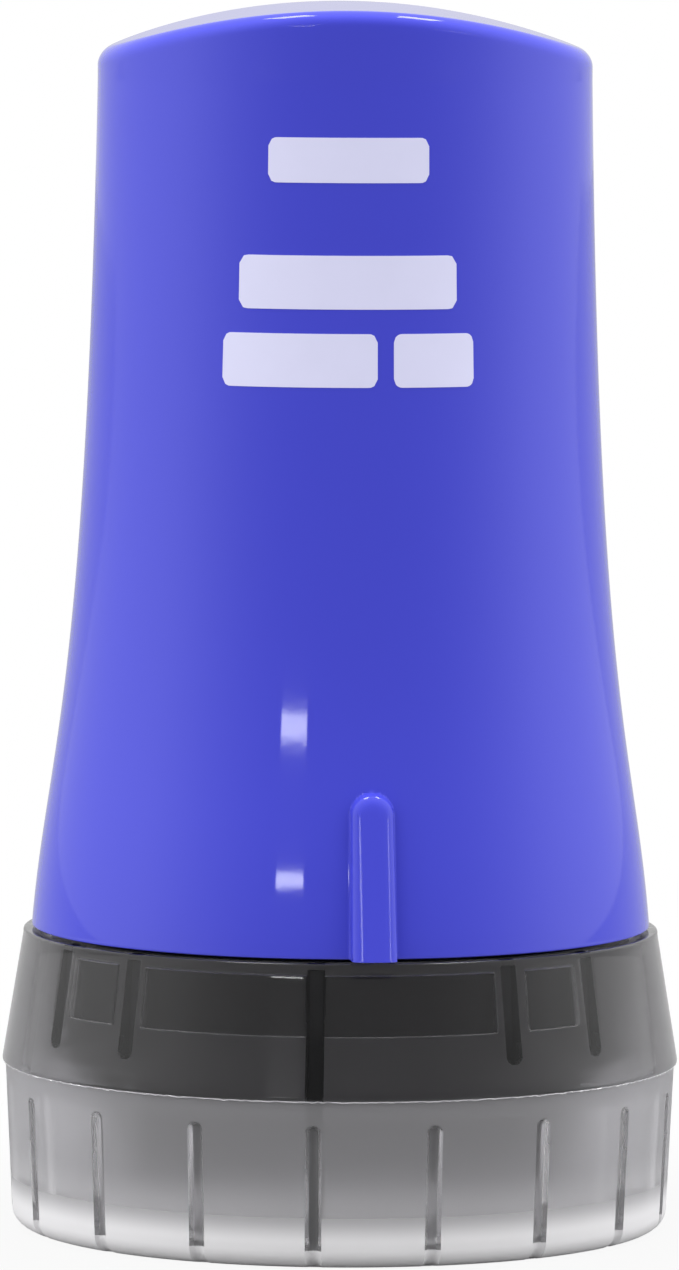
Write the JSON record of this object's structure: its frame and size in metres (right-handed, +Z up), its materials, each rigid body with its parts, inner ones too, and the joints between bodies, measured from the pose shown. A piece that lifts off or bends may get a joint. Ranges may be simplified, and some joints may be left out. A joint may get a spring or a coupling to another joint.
{
  "type": "privacy roller stamp",
  "caption": "Hand-held roller stamp: bell-shaped handle over an inked print roller cartridge, standing in a smoke-grey grooved cap.",
  "frame": {"origin": "middle of the cap's flat base, on the surface that the closed stamp stands on", "axes": "+Z up through the handle, -Y towards the front where the thumb rib is, X along the axes of both rollers"},
  "size_m": [0.057, 0.057, 0.1028],
  "materials": {
    "smoke_plastic": "clear smoke-grey styrene, polished",
    "blue_plastic": "violet-blue ABS, satin gloss",
    "black_plastic": "black ABS, fine matt",
    "grey_plastic": "grey nylon",
    "white_plastic": "white acetal",
    "print_rubber": "inked print rubber",
    "tyre_rubber": "black drive tyre",
    "ink_foam": "open-cell foam soaked in ink",
    "steel": "bright steel"
  },
  "bodies": {
    "cap": {"cap_shell": "smoke_plastic"},
    "cartridge": {"cartridge_collar": "black_plastic", "ink_hood": "black_plastic", "ink_lid": "black_plastic", "cheek_left": "black_plastic", "cheek_right": "black_plastic", "ink_bearing_left": "white_plastic", "ink_bearing_right": "white_plastic", "ink_spring_left": "steel", "ink_spring_right": "steel", "axle_bush_left": "white_plastic", "axle_bush_right": "white_plastic"},
    "handle": {"handle_shell": "blue_plastic", "handle_dock": "grey_plastic"},
    "print_roller": {"print_sleeve": "print_rubber", "print_core": "grey_plastic", "drive_tyre_left": "tyre_rubber", "drive_tyre_right": "tyre_rubber", "print_axle": "steel", "axle_clip_left": "steel", "axle_clip_right": "steel"},
    "ink_roller": {"ink_foam": "ink_foam", "ink_core": "grey_plastic", "ink_flange_left": "grey_plastic", "ink_flange_right": "grey_plastic", "ink_axle": "steel"}
  },
  "joints": [
    {"name": "cap_pull", "type": "slide", "parent": "cap", "child": "cartridge", "axis": [0, 0, 1], "range_m": [0, 0.04]},
    {"name": "refill_pull", "type": "slide", "parent": "cartridge", "child": "handle", "axis": [0, 0, 1], "range_m": [0, 0.03]},
    {"name": "print_spin", "type": "hinge", "parent": "cartridge", "child": "print_roller", "pos_m": [0, 0, 0.0127], "axis": [1, 0, 0], "continuous": true},
    {"name": "ink_spin", "type": "hinge", "parent": "cartridge", "child": "ink_roller", "pos_m": [0, 0, 0.0287], "axis": [1, 0, 0], "continuous": true}
  ],
  "couplings": [
    {"joint": "ink_spin", "follows": "print_spin", "ratio": -1.5323}
  ]
}
